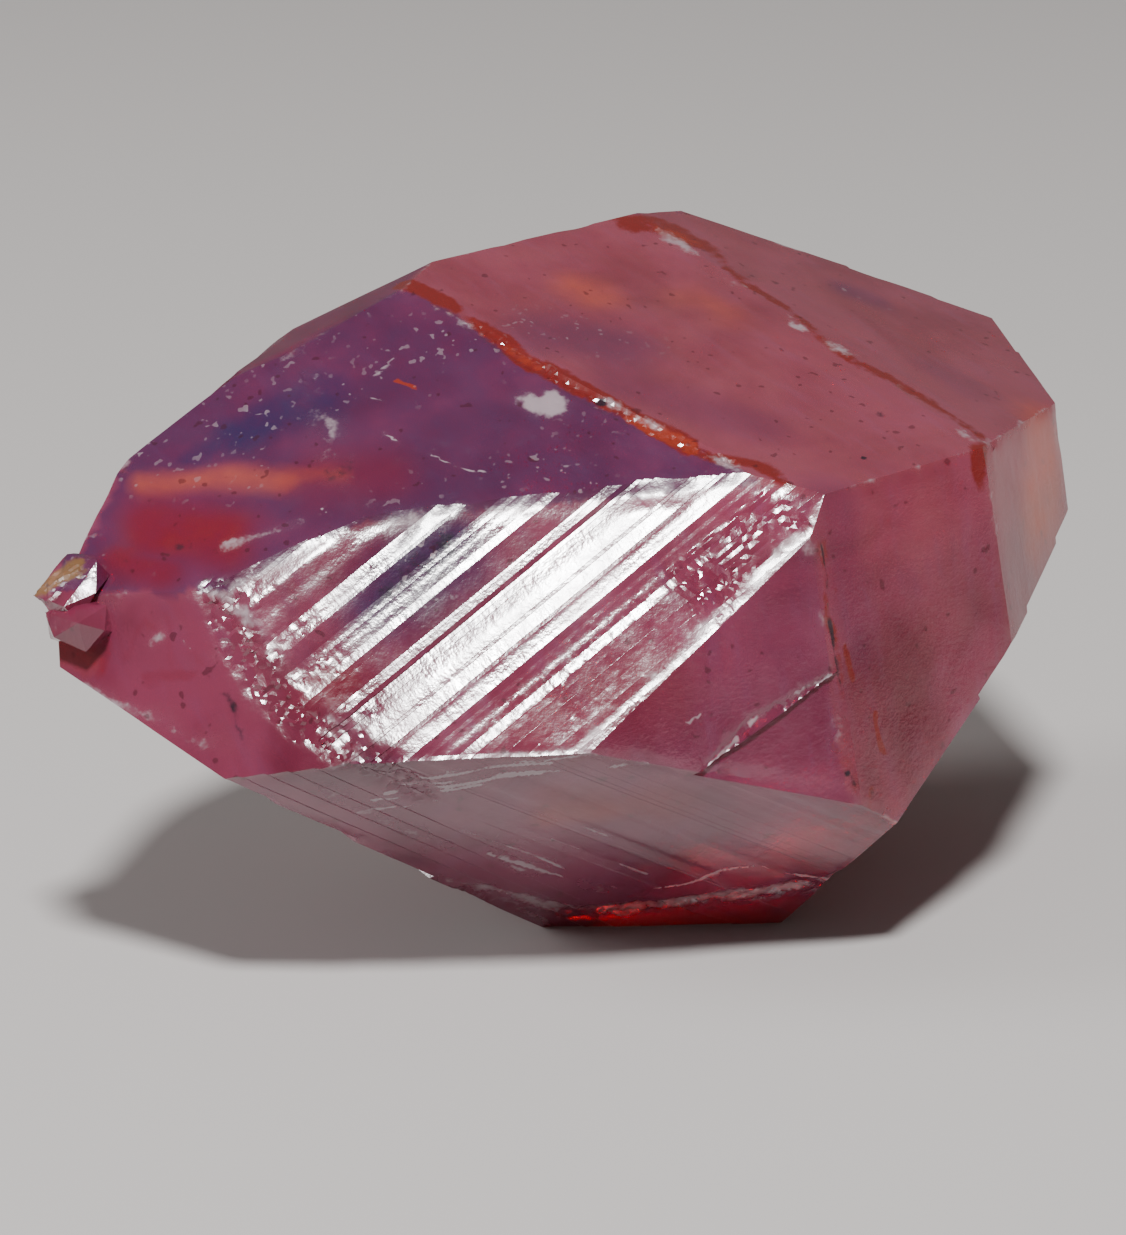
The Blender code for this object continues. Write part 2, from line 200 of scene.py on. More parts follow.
# Dark specks and shadows.
DARK_SPOTS = (
    (1.00, 5.5, "tip_front", ((839, 709),)),
    (1.00, 5, "girdle_front", ((848, 773),)),
    (0.80, 4, "girdle_front", ((862, 768),)),
    (0.80, 5, "girdle_upper", ((866, 458),)),
    (0.60, 11, "girdle_upper", ((880, 415),)),
    (0.80, 8, "tip_upper", ((598, 402),)),
    (0.95, 5, "tip_front", ((760, 470), (783, 482), (795, 505), (808, 522))),
    (0.35, 30, "tip_upper_flat", ((330, 470), (370, 462))),
    (0.50, 9, "tip_upper_flat", ((190, 499), (203, 503))),
    (0.50, 9, "tip_upper_flat", ((178, 544), (196, 548), (213, 553))),
    (0.40, 9, "tip_upper_flat", ((115, 560), (140, 572))),
    (0.50, 10.5, "tip_smooth", ((229, 690), (236, 706), (240, 730))),
    (0.55, 26, "tip_striated", ((395, 600), (445, 556))),
    (0.50, 16, "tip_striated", ((345, 655), (375, 630))),
    (0.40, 12, "tip_lower", ((655, 825), (675, 830))),
)
# Purple clouds.
PLUM_ZONES = (
    (0.50, 10, "tip_front", ((775, 650), (800, 662))),
    (0.50, 34, "girdle_upper", ((620, 380), (700, 410), (760, 425))),
    (0.35, 26, "blunt_upper", ((935, 370), (965, 385))),
    (0.55, 26, "girdle_front", ((832, 490), (845, 560), (858, 640))),
)
# Blue colour zones.
BLUE_ZONES = (
    (0.50, 40, "girdle_upper", ((545, 335), (620, 345))),
    (0.45, 20, "blunt_upper", ((845, 290), (875, 300))),
    (0.45, 36, "tip_upper", ((430, 350),)),
    (0.55, 20, "tip_upper", ((488, 436),)),
    (0.50, 16, "tip_upper", ((330, 362), (345, 372))),
    (1.00, 38, "tip_upper_flat", ((240, 432), (320, 392))),
    (0.80, 18, "tip_upper_flat", ((185, 462), (225, 440))),
    (0.95, 36.5, "tip_striated", ((380, 600), (455, 548))),
)
# Painted glow: warm light seen inside the stone, painted into the colour.
PAINTED_GLOWS = (
    (0.55, 24, "girdle_upper", ((575, 285), (600, 295))),
    (0.35, 27.5, "girdle_upper", ((700, 300), (720, 310))),
    (1.00, 48, "blunt_front", ((1045, 460), (1040, 500))),
    (0.60, 30, "blunt_front", ((1035, 540),)),
    (0.72, 15, "tip_upper_flat", ((145, 487), (215, 482), (285, 482))),
    (0.40, 10, "tip_upper_flat", ((285, 482), (340, 478))),
    (0.40, 12, "tip_smooth", ((66, 650), (88, 654))),
    (0.40, 20, "tip_lower", ((560, 815), (600, 812))),
)
# Salmon clouds.
SALMON_ZONES = (
    (0.60, 60, "girdle_front", ((930, 520), (940, 620))),
)
# White haze, scratches and bruised spots, and painted highlights, glints and glare where the faces
# reflect the light.
HAZE_AND_GLARE_MARKS = (
    # Painted highlight.
    (1.00, 10, "girdle_upper", ((797, 325), (803, 327))),
    (0.20, 50, "blunt_upper", ((900, 310), (990, 360))),
    (1.00, 9, "tip_upper", ((530, 398), (534, 402))),
    (1.00, 11, "tip_upper", ((547, 398), (556, 404))),
    (0.50, 16, "tip_upper", ((520, 392), (560, 410))),
    (0.60, 1.8, "tip_upper", ((335, 390), (370, 398), (405, 406))),
    (0.80, 1.8, "tip_upper", ((428, 452), (470, 470), (505, 476))),
    (0.60, 1.8, "tip_upper", ((395, 355), (372, 375))),
    (0.80, 2.2, "tip_upper", ((385, 432), (405, 446))),
    (0.50, 8, "tip_upper_flat", ((225, 548), (262, 536), (300, 524))),
    (0.90, 1.8, "tip_upper_flat", ((322, 508), (334, 516))),
    (0.50, 7, "tip_smooth", ((150, 640), (160, 636))),
    (0.90, 3, "tip_smooth", ((181, 641), (188, 648))),
    # Painted glint.
    (0.90, 5, "tip_smooth", ((58, 620), (78, 628))),
    (0.50, 10, "tip_smooth", ((66, 676), (130, 706), (200, 746))),
    # Painted glare on the long lower face where it reflects the light, and painted highlight along its
    # ledge.
    (0.30, 15, "tip_lower", ((330, 795), (450, 850), (600, 895))),
    (0.70, 13, "tip_lower", ((480, 893), (560, 915), (640, 912), (720, 898), (800, 888))),
    (1.00, 2.2, "tip_lower", ((369, 822), (440, 842), (500, 862), (560, 878), (629, 892))),
    (1.00, 2.2, "tip_lower", ((629, 892), (683, 886), (720, 872), (760, 868), (836, 884))),
    (0.80, 3, "tip_front", ((711, 765), (740, 735))),
    (0.90, 3, "tip_front", ((752, 722), (780, 705))),
    (0.90, 3, "tip_front", ((790, 700), (828, 682))),
    # Painted glint.
    (1.00, 5, "tip_front", ((830, 679),)),
    (0.70, 1.8, "tip_front", ((711, 765), (718, 790), (731, 817))),
    (0.80, 2, "tip_front", ((685, 725), (705, 712))),
    (0.80, 1.8, "tip_front", ((655, 795), (645, 817))),
    (0.80, 2.2, "tip_front", ((757, 590), (770, 570))),
)
# Deep red zones and red cracks.
BLOOD_ZONES = (
    (0.50, 34, "tip_upper_flat", ((320, 478), (380, 470))),
    (1.00, 36, "tip_upper_flat", ((150, 528), (225, 540))),
    (0.90, 22, "tip_upper_flat", ((118, 562), (160, 575))),
    (0.50, 3.7, "tip_smooth", ((123, 652), (135, 628), (143, 620), (152, 627))),
    (0.50, 4.1, "tip_smooth", ((163, 612), (170, 633))),
    (0.45, 3.7, "tip_smooth", ((170, 633), (167, 648), (170, 670))),
    (0.45, 4.2, "tip_smooth", ((170, 635), (181, 636), (188, 648), (200, 663))),
    (0.80, 5, "tip_smooth", ((102, 665), (107, 640))),
    (0.60, 6, "tip_smooth", ((143, 672), (188, 675))),
    (0.70, 14, "tip_smooth", ((62, 648), (92, 652))),
    (0.60, 3, "tip_smooth", ((84, 606), (100, 580))),
    (0.70, 26, "tip_striated", ((300, 700), (345, 680))),
    (0.55, 50, "tip_striated", ((540, 720), (650, 690))),
    (0.80, 30, "tip_lower", ((560, 800), (660, 805))),
)
# Rust on the tip.
RUST_SPOTS = (
    (1.00, 17, "tip_smooth", ((44, 592), (74, 566))),
    (0.80, 10, "tip_smooth", ((70, 600), (90, 575))),
)
MARKS = {
    "stain": STAINS,
    "ember": EMBERS,
    "dark": DARK_SPOTS,
    "plum": PLUM_ZONES,
    "blue": BLUE_ZONES,
    "painted_glow": PAINTED_GLOWS,
    "salmon": SALMON_ZONES,
    "haze_and_glare": HAZE_AND_GLARE_MARKS,
    "blood": BLOOD_ZONES,
    "rust": RUST_SPOTS,
}

# Rough, broken strips: face, path in photo pixels, radius in photo pixels, depth in mm, and size of
# the grains in mm.
ROUGH_STRIPS = (
    ("tip_striated", ((218, 592), (228, 625), (262, 690), (300, 722), (345, 745)), 20, 0.045, 0.085),
    ("tip_striated", ((245, 605), (285, 660), (345, 705)), 42, 0.009, 0.075),
    ("tip_lower", ((345, 752), (385, 772), (420, 792)), 18, 0.035, 0.070),
    ("tip_striated", ((540, 712), (690, 610)), 55, 0.004, 0.060),
    ("tip_lower", ((470, 898), (560, 920), (700, 905), (850, 880)), 15, 0.030, 0.060),
    ("tip_upper", ((470, 322), (560, 382), (640, 424), (730, 462)), 8, 0.030, 0.055),
    ("tip_upper", ((390, 440), (480, 462), (560, 440), (700, 468)), 13, 0.010, 0.060),
    ("tip_smooth", ((48, 598), (72, 575)), 22, 0.030, 0.070),
    ("tip_front", ((711, 765), (752, 722), (828, 680)), 5, 0.020, 0.035),
    ("tip_front", ((745, 475), (785, 492), (806, 520)), 8, 0.040, 0.045),
    ("tip_upper_flat", ((235, 445), (320, 390)), 26, 0.008, 0.045),
)

# Painted glare streaks of the long lower face, where it reflects the light: strength, radius in mm,
# start and end on the face in mm (round the crystal, along it).
LOWER_GLARE_STREAKS = (
    (0.80, 0.020, (-0.30, 2.42), (0.30, 1.72)),
    (0.95, 0.026, (-0.16, 2.40), (0.62, 1.38)),
    (0.85, 0.022, (-0.02, 2.36), (1.05, 0.80)),
    (0.95, 0.028, (0.16, 2.26), (0.80, 1.42)),
    (0.80, 0.018, (0.34, 2.12), (1.16, 1.04)),
    (0.75, 0.022, (-0.52, 2.40), (-0.10, 1.94)),
    (0.60, 0.020, (-0.62, 2.10), (-0.86, 0.70)),
    (0.60, 0.018, (-0.42, 1.60), (-0.70, 0.20)),
    (0.60, 0.018, (-0.20, 1.20), (-0.46, -0.30)),
    (0.55, 0.018, (0.10, 1.10), (-0.16, -0.20)),
)

# Cracks over the striated face in mm: place across the ridges, place along them.
RIDGE_CRACKS = (
    ((-0.36, -1.33), (-0.10, -1.50), (0.30, -1.78)),
    ((-0.36, -0.43), (-0.15, -0.45), (0.00, -0.36), (0.25, -0.50), (0.60, -0.72), (0.75, -0.70)),
    ((-0.10, -2.45), (0.30, -2.20)),
    ((0.10, -0.33), (0.22, -0.18)),
)
RIDGE_CRACK_STRENGTH = 0.85
RIDGE_CRACK_RADIUS = 0.014

# The crack down the front corner in mm on the front girdle face (round the crystal, along it).
CORNER_CRACK = ((0.42, 0.05), (-0.03, 0.02), (-0.49, 0.10), (-0.84, 0.05), (-1.20, 0.22), (-1.66, 0.08))
CORNER_CRACK_LAYERS = (
    ("dark", 0.62, 0.024),
    ("stain", 0.55, 0.070),
    ("haze_and_glare", 0.30, 0.040),
)

# Longest edges of the surface in mm: in general, on the striated face, and round fine detail.
LONGEST_EDGE = 0.085
RIDGE_EDGE = 0.060
FINE_EDGE = 0.032
# A mark with a smaller radius than this, in mm, is fine detail.
FINE_MARK = 0.07
STRIP_MARGIN = 0.05
MARK_MARGIN = 0.03
SPLIT_ROUNDS = 10
POINTS_AT_ONCE = 2000
# Strewn points: height of a row, stray and clearance from the outline, in shares of an edge.
ROW_HEIGHT = 0.866
POINT_STRAY = 0.12
RIM_CLEARANCE = 0.45
POINT_SEED = 5
SAME_PLACE = 1.0e-7
SHARP_ANGLE = math.radians(11.0)

# How far in mm a point may lie below the striated face and still count as part of it.
STRIATED_DEPTH = 0.10
HATCHED_DEPTH = 0.13

# Numbers that mix a grid cell and a seed into repeatable noise.
HASH_AXIS_FACTORS = (73856093, 19349663, 83492791)
HASH_SEED_FACTOR = 2654435
HASH_SHIFTS = (0, 7, 13)
HASH_FACTOR = 1103515245
HASH_STEP = 12345
HASH_FOLD = 15
HASH_MASK = 0xFFFF

# Broken facets: how far they tilt and stand out, and what is added to the seed for each.
FACET_TILT = 0.9
FACET_LIFT = 0.8
FACET_TILT_SEED = 31
FACET_LIFT_SEED = 77

# Waves of the flat faces: height in mm, size in mm, seed.
WAVES = (
    (0.0035, 0.9, 3),
    (0.0018, 0.33, 4),
)
# Worn edges: width and depth in mm, then the chips along them.
WEAR_WIDTH = 0.035
WEAR_DEPTH = 0.006
CHIPPED_SIZE = 0.45
CHIPPED_SEED = 8
CHIPPED_GAIN = 1.6
CHIPPED_START = 0.35
CHIP_DEPTH = 0.022
CHIP_EVEN_SHARE = 0.6
CHIP_FACET_SHARE = 0.4
CHIP_GRAIN = 0.11
CHIP_SEED = 9
# Rough strips: softness of their borders, the faintest touch that counts, and their facets.
STRIP_SOFTNESS = 0.45
STRIP_FAINTEST = 0.001
STRIP_SEED = 40
STRIP_EVEN_SHARE = 0.55
STRIP_FACET_SHARE = 0.45
# Fine hatching on the striated face: its middle, half width in mm and softness across and along
# the ridges, the spacing and depth of its lines in mm, and how far, how widely and by which seed
# the lines wander.
HATCH_ACROSS = (-0.80, 0.24, 0.3)
HATCH_ALONG = (0.40, 0.62, 0.2)
HATCH_SPACING = 0.075
HATCH_DEPTH = 0.014
HATCH_WANDER = (0.06, 0.2, 15)

# Uneven borders of the marks: how far they are bent in mm, size of the bends in mm, and seeds.
BEND = 0.05
BEND_SIZE = 0.35
BEND_SEEDS = (61, 62, 63)
# Share of the bend and softness of the border, for fine and for broad marks.
FINE_BORDER = (0.8, 0.45)
BROAD_BORDER = (1.6, 0.8)
# Painted highlight along the edges, where they catch the light: width in mm, size of its patches in mm,
# seed and strength.
EDGE_HIGHLIGHT_WIDTH = 0.04
EDGE_HIGHLIGHT_SIZE = 0.3
EDGE_HIGHLIGHT_SEED = 71
EDGE_HIGHLIGHT_STRENGTH = 0.62

# Painted light: whole faces that lean towards a tint, for the light each face reflects and lets through.
FACE_LIGHT_TINTS = (
    (("girdle_upper", "blunt_upper", "blunt_top", "blunt_front", "blunt_shoulder"), "salmon", 0.75),
    (("girdle_front", "blunt_side", "blunt_end"), "salmon", 0.4),
    (("tip_upper", "tip_upper_flat"), "plum", 0.75),
    (("tip_edge_strip", "tip_back_upper", "girdle_back_upper"), "plum", 0.6),
    (("tip_upper", "tip_upper_flat"), "blue", 0.45),
    (("tip_smooth", "tip_under"), "plum", 0.25),
    (("tip_smooth",), "blood", 0.35),
    (("tip_lower", "tip_front"), "plum", 0.3),
)
MASKS = ("salmon", "plum", "blue", "painted_glow", "blood", "stain", "ember", "haze_and_glare", "rust", "dark")

PINK = (0.50, 0.095, 0.190, 1.0)
ROSE = (0.31, 0.034, 0.095, 1.0)
MAUVE = (0.42, 0.13, 0.30, 1.0)
MAROON = (0.07, 0.004, 0.012, 1.0)
# White of the haze, also used for painted highlights, glints and glare.
HAZE_AND_GLINT_WHITE = (0.72, 0.58, 0.64, 1.0)
# mask, colour, strength, whether its border is crisp. Later ones lie over earlier ones.
TINTS = (
    ("salmon", (0.47, 0.115, 0.125, 1.0), 0.75, False),
    ("plum", (0.15, 0.022, 0.105, 1.0), 0.9, False),
    ("blue", (0.032, 0.020, 0.125, 1.0), 0.95, False),
    # Painted glow of warm light inside the stone.
    ("painted_glow", (0.85, 0.15, 0.075, 1.0), 1.0, False),
    ("blood", (0.34, 0.006, 0.024, 1.0), 0.95, False),
    ("stain", (0.33, 0.018, 0.012, 1.0), 0.95, True),
    ("ember", (0.52, 0.048, 0.018, 1.0), 0.9, True),
    # Haze together with painted highlights, glints and glare.
    ("haze_and_glare", HAZE_AND_GLINT_WHITE, 0.85, True),
    ("rust", (0.36, 0.17, 0.04, 1.0), 0.9, True),
    ("dark", (0.02, 0.012, 0.03, 1.0), 0.95, True),
)

# Noise of the material: hills in a metre, finer layers, strength of these, and twist.
NOISES = {
    "cloud": (650.0, 4.0, 0.6, 0.4),
    "mottle": (2600.0, 4.0, 0.6, 0.0),
    "grit": (11000.0, 3.0, 0.6, 0.0),
    "streak": (1500.0, 3.0, 0.6, 0.0),
    "shade": (420.0, 3.0, 0.6, 0.8),
    "speck": (9000.0, 1.0, 0.5, 0.0),
    "glint_fleck": (12000.0, 1.0, 0.5, 0.0),
    "frost": (32000.0, 2.0, 0.55, 0.0),
}
STREAK_STRETCH = (5.0, 1.0, 1.0)
# Level of the noise where a pattern starts and where it is full, and its share at either.
ROSE_RANGE = (0.35, 0.65, 0.0, 1.0)
MAUVE_RANGE = (0.45, 0.8, 0.0, 0.35)
MAROON_RANGE = (0.46, 0.70, 0.0, 0.55)
SPECK_RANGE = (0.70, 0.74, 0.0, 0.5)
# Painted glints: white flecks in the blue zones.
GLINT_FLECK_RANGE = (0.66, 0.70, 0.0, 1.0)
GLINT_FLECK_CLOUD_RANGE = (0.45, 0.65, 0.0, 1.0)
ROUGHNESS_RANGE = (0.3, 0.75, 0.13, 0.27)
CRISP_RANGE = (0.38, 0.72)
SOFT_RANGE = (0.25, 0.75)
SOFT_LEAST = 0.65
# How strongly noise breaks up a crisp border, and what that noise is mixed from.
BORDER_BREAK = 1.7
RAGGED_MOTTLE = 0.6
RAGGED_GRIT = 0.4
HAZE_ROUGHNESS = 0.22
RUST_ROUGHNESS = 0.3
BUMP_STRENGTH = 0.5
BUMP_DISTANCE = 0.00001
GRIT_BUMP = 0.5
STREAK_BUMP = 0.8
FROST_BUMP = 0.3

RUBY_REFRACTION = 1.77
TRANSMISSION = 0.6
COAT = 0.3
COAT_ROUGHNESS = 0.08
ABSORPTION_COLOUR = (0.90, 0.12, 0.34, 1.0)
ABSORPTION_DENSITY = 1100.0

# The studio, in metres.
FLOOR_COLOUR = (0.48, 0.46, 0.45, 1.0)
FLOOR_ROUGHNESS = 0.6
FLOOR_REACH = 0.25
FLOOR_SQUARES = 40
CAMERA_CLIP = (0.001, 10.0)
WORLD_COLOUR = (0.55, 0.50, 0.48, 1.0)
WORLD_STRENGTH = 0.27
LIGHT_TARGET = (0.0, 0.0, 0.0028)
LIGHT_DISTANCE = 0.12
# name, direction from the target, size in metres, power in watts.
LIGHTS = (
    ("key", (-0.350, -0.360, 0.865), 0.018, 0.24),
    ("back", (-0.75, 0.60, 0.45), 0.05, 0.09),
)


def face_frame(name):
    """Foot of a face in mm and its own axes: round the crystal, along it, outward."""
    tilt, turn, distance = FACES[name]
    tilt = math.radians(tilt)
    turn = math.radians(turn)
    outward = Vector((
        math.cos(tilt),
        -math.sin(tilt) * math.cos(turn),
        math.sin(tilt) * math.sin(turn),
    ))
    level = Vector((0.0, math.sin(turn), math.cos(turn)))
    return outward * distance, level, outward.cross(level), outward


def new_object(name, bm):
    """Turn a finished bmesh into an object of the scene."""
    bmesh.ops.recalc_face_normals(bm, faces=bm.faces[:])
    mesh = bpy.data.meshes.new(name)
    bm.to_mesh(mesh)
    bm.free()
    made = bpy.data.objects.new(name, mesh)
    bpy.context.scene.collection.objects.link(made)
    return made


def cut_with_plane(bm, place, outward):
    """Remove everything outside a plane and close the cut with one flat face."""
    cut = bmesh.ops.bisect_plane(
        bm,
        geom=bm.verts[:] + bm.edges[:] + bm.faces[:],
        dist=CUT_TOLERANCE,
        plane_co=place,
        plane_no=outward,
        clear_outer=True,
    )
    rim = [item for item in cut["geom_cut"] if isinstance(item, bmesh.types.BMEdge)]
    if rim:
        bmesh.ops.edgeloop_fill(bm, edges=rim)


def combine(body, tool, operation):
    """Join a tool to the body or carve it out of it, then remove the tool."""
    step = body.modifiers.new("combine", "BOOLEAN")
    step.operation = operation
    step.solver = "EXACT"
    step.object = tool
    view = bpy.context.evaluated_depsgraph_get()
    result = bpy.data.meshes.new_from_object(body.evaluated_get(view))
    old = body.data
    body.modifiers.remove(step)
    body.data = result
    bpy.data.meshes.remove(old)
    bpy.data.objects.remove(tool, do_unlink=True)


def profile_cutter(face, line_angle, profile):
    """Slab over a face whose lower side follows a profile of (position, height) in mm."""
    foot, level, rise, outward = face_frame(face)
    lines = level * math.cos(line_angle) + rise * math.sin(line_angle)
    across = rise * math.cos(line_angle) - level * math.sin(line_angle)
    outline = [(profile[0][0], STEP_CLEARANCE), *profile, (profile[-1][0], STEP_CLEARANCE)]
    bm = bmesh.new()
    start = foot - lines * CUTTER_REACH
    corners = [bm.verts.new((start + across * t + outward * h) * MM) for t, h in outline]
    end_face = bm.faces.new(corners)
    swept = bmesh.ops.extrude_face_region(bm, geom=[end_face])
    moved = [item for item in swept["geom"] if isinstance(item, bmesh.types.BMVert)]
    bmesh.ops.translate(bm, verts=moved, vec=lines * 2.0 * CUTTER_REACH * MM)
    return new_object("cutter", bm)


def ridge_profile(start, bands, base, seed):
    """Section across a set of ridges: slopes as wide as a line, each with a small fall behind it."""
    rng = random.Random(seed)
    position = start
    profile = [(-RIDGE_REACH, base), (position, base)]
    height = base
    for end, tilt, stray in bands:
        while position < end:
            width = min(rng.uniform(*RIDGE_LINE), end - position + RIDGE_OVERRUN)
            slope = math.tan(math.radians(tilt + rng.uniform(-stray, stray)))
            top = height - width * slope
            profile.append((position + width, top))
            position += width
            climb = rng.uniform(*RIDGE_RETURN) * (rng.random() < RIDGE_RETURN_CHANCE)
            height = top + (base - top) * climb
            if height != top:
                profile.append((position + RIDGE_FALL, height))
                position += RIDGE_FALL
    profile.append((RIDGE_REACH, height))
    return profile


def lump_corners(middle, half_sizes, dip, rng):
    """Corners in mm of an uneven lump: a block with its corners cut back."""
    lean = Matrix.Rotation(math.radians(dip), 3, "Y")
    corners = []
    for signs in product((-1, 0, 1), repeat=3):
        sides_met = sum(abs(sign) for sign in signs)
        if sides_met not in (1, 3):
            continue
        share = 1.0 if sides_met == 1 else LUMP_CORNER_SHARE
        share *= rng.uniform(1.0 - LUMP_UNEVENNESS, 1.0 + LUMP_UNEVENNESS)
        offset = Vector([sign * half * share for sign, half in zip(signs, half_sizes)])
        corners.append(Vector(middle) + lean @ offset)
    return corners


def make_crystal():
    """The body with its faces, ridges, growth steps and tip lumps, still round the middle."""
    bm = bmesh.new()
    bmesh.ops.create_cube(bm, size=BLOCK_SIDE)
    for name in FACES:
        foot, _, _, outward = face_frame(name)
        cut_with_plane(bm, foot * MM, outward)
    body = new_object("ruby_crystal_visual", bm)
    for face, angle, start, bands, base, seed in (
        ("tip_striated", RIDGE_ANGLE, BAND_START, RIDGE_BANDS, RIDGE_BASE, RIDGE_SEED),
        ("tip_lower", LOWER_ANGLE, LOWER_START, LOWER_BANDS, LOWER_BASE, LOWER_SEED),
    ):
        profile = ridge_profile(start, bands, base, seed)
        combine(body, profile_cutter(face, angle, profile), "DIFFERENCE")
    for face, angle, places, depth in GROWTH_STEPS:
        profile = [(places[0], -depth)]
        for number, place in enumerate(places[1:], start=1):
            profile.append((place, -depth * number))
            profile.append((place + STEP_RUN, -depth * (number + 1)))
        profile.append((CUTTER_REACH, -depth * len(places)))
        combine(body, profile_cutter(face, math.radians(angle), profile), "DIFFERENCE")
    rng = random.Random(LUMP_SEED)
    for middle, half_sizes, dip in TIP_LUMPS:
        bm = bmesh.new()
        verts = [bm.verts.new(corner * MM) for corner in lump_corners(middle, half_sizes, dip, rng)]
        bmesh.ops.convex_hull(bm, input=verts)
        combine(body, new_object("tip_lump", bm), "UNION")
    return body


def crystal_points(bm):
    """Places of all the points in mm."""
    return np.array([v.co for v in bm.verts]) * MM_IN_METRE


def path_distance(points, path):
    """Distance in mm of every point from a path of straight pieces."""
    path = np.array(path, float)
    if len(path) == 1:
        return np.linalg.norm(points - path[0], axis=1)
    best = np.full(len(points), FAR_AWAY)
    for start, end in zip(path, path[1:]):
        way = end - start
        share = np.clip(((points - start) @ way) / max(way @ way, SHORTEST_SQUARED), 0.0, 1.0)
        gap = np.linalg.norm(points - start - share[:, None] * way, axis=1)
        best = np.minimum(best, gap)
    return best


def fade(distance, radius, soft=0.5):
    """1 inside a radius, falling smoothly to 0 outside it."""
    x = np.clip((distance - radius * (1.0 - soft)) / (radius * 2.0 * soft), 0.0, 1.0)
    return 1.0 - x * x * (3.0 - 2.0 * x)


def plane_distances(points):
    """Signed distance of every point from every face plane."""
    rows = []
    for name in FACES:
        _, _, _, outward = face_frame(name)
        rows.append(points @ np.array(outward) - FACES[name][2])
    return np.array(rows)


def ridge_coordinates(points):
    """Place of every point across the ridges and along them, in mm."""
    foot, level, rise, _ = (np.array(v) for v in face_frame("tip_striated"))
    across = rise * math.cos(RIDGE_ANGLE) - level * math.sin(RIDGE_ANGLE)
    lines = level * math.cos(RIDGE_ANGLE) + rise * math.sin(RIDGE_ANGLE)
    return (points - foot) @ across, (points - foot) @ lines


def sight_on_face(face, u, v):
    """Place in mm on a face under a photo pixel, and the width of a pixel there in mm."""
    foot, _, _, outward = face_frame(face)
    lean = Matrix.Rotation(AXIS_LEAN, 3, "Y")
    eye = lean @ Vector(CAMERA_PLACE)
    aim = Vector((u - PHOTO_WIDTH / 2.0, PHOTO_HEIGHT / 2.0 - v, -FOCAL_PIXELS))
    sight = lean @ (Euler((CAMERA_TILT, 0.0, CAMERA_TURN)).to_matrix() @ aim)
    share = (foot - eye).dot(outward) / sight.dot(outward)
    return eye + sight * share, share


def path_in_photo(face, pixels):
    """Path in mm under a row of photo pixels, and the width of a pixel at its end in mm."""
    places = [sight_on_face(face, u, v) for u, v in pixels]
    return [place for place, _ in places], places[-1][1]


def path_on_face(face, steps):
    """Path in mm from places on a face, given in the face's own axes."""
    foot, level, rise, _ = face_frame(face)
    return [foot + level * across + rise * along for across, along in steps]


def find_marks():
    """Every mark in mm: its mask, strength, radius and path."""
    found = []
    for mask, rows in MARKS.items():
        for strength, radius, face, pixels in rows:
            path, pixel_width = path_in_photo(face, pixels)
            found.append((mask, strength, radius * pixel_width, path))
    # Painted glare streaks on the long lower face.
    for strength, radius, start, end in LOWER_GLARE_STREAKS:
        found.append(("haze_and_glare", strength, radius, path_on_face("tip_lower", (start, end))))
    cosine = math.cos(RIDGE_ANGLE)
    sine = math.sin(RIDGE_ANGLE)
    for crack in RIDGE_CRACKS:
        steps = [
            (along * cosine - across * sine, along * sine + across * cosine)
            for across, along in crack
        ]
        path = path_on_face("tip_striated", steps)
        found.append(("dark", RIDGE_CRACK_STRENGTH, RIDGE_CRACK_RADIUS, path))
    for mask, strength, radius in CORNER_CRACK_LAYERS:
        found.append((mask, strength, radius, path_on_face("girdle_front", CORNER_CRACK)))
    return found


def find_strips():
    """Every rough strip in mm: its path, radius, depth and grain."""
    found = []
    for face, pixels, radius, depth, grain in ROUGH_STRIPS:
        path, pixel_width = path_in_photo(face, pixels)
        found.append((path, radius * pixel_width, depth, grain))
    return found


def wanted_edge(points):
    """Longest edge in mm that the surface may have at each point."""
    wanted = np.full(len(points), LONGEST_EDGE)
    names = list(FACES)
    gaps = plane_distances(points)
    wanted[gaps[names.index("tip_striated")] > -STRIATED_DEPTH] = RIDGE_EDGE
    for path, radius, _, _ in strips:
        wanted[path_distance(points, path) < radius + STRIP_MARGIN] = FINE_EDGE
    for _, _, radius, path in marks:
        if radius < FINE_MARK:
            wanted[path_distance(points, path) < radius + MARK_MARGIN] = FINE_EDGE
    return wanted


def split_long_edges(bm):
    """Put points along the long edges; the faces keep their shapes."""
    for _ in range(SPLIT_ROUNDS):
        edges = list(bm.edges)
        ends = np.array([(e.verts[0].co[:], e.verts[1].co[:]) for e in edges]) * MM_IN_METRE
        lengths = np.linalg.norm(ends[:, 0] - ends[:, 1], axis=1)
        limit = wanted_edge(ends.mean(axis=1))
        long_edges = [e for e, yes in zip(edges, lengths > limit) if yes]
        if not long_edges:
            break
        for edge in long_edges:
            bmesh.utils.edge_split(edge, edge.verts[0], 0.5)


def inside_outline(points, outline, clearance):
    """Which flat points lie inside an outline and at least the clearance from it."""
    start = outline
    way = np.roll(outline, -1, axis=0) - outline
    length = np.maximum((way * way).sum(axis=1), TINY)
    rise = np.where(np.abs(way[:, 1]) < TINY, TINY, way[:, 1])
    answer = []
    for part in np.array_split(points, len(points) // POINTS_AT_ONCE + 1):
        away = part[:, None, :] - start[None, :, :]
        share = np.clip((away * way).sum(axis=2) / length, 0.0, 1.0)
        gap = away - share[:, :, None] * way
        far = ((gap * gap).sum(axis=2) > clearance * clearance).all(axis=1)
        crossing = (away[:, :, 1] >= 0.0) != (away[:, :, 1] - way[:, 1] >= 0.0)
        right = away[:, :, 0] < way[:, 0] * away[:, :, 1] / rise
        answer.append(far & ((crossing & right).sum(axis=1) % 2 == 1))
    return np.concatenate(answer)


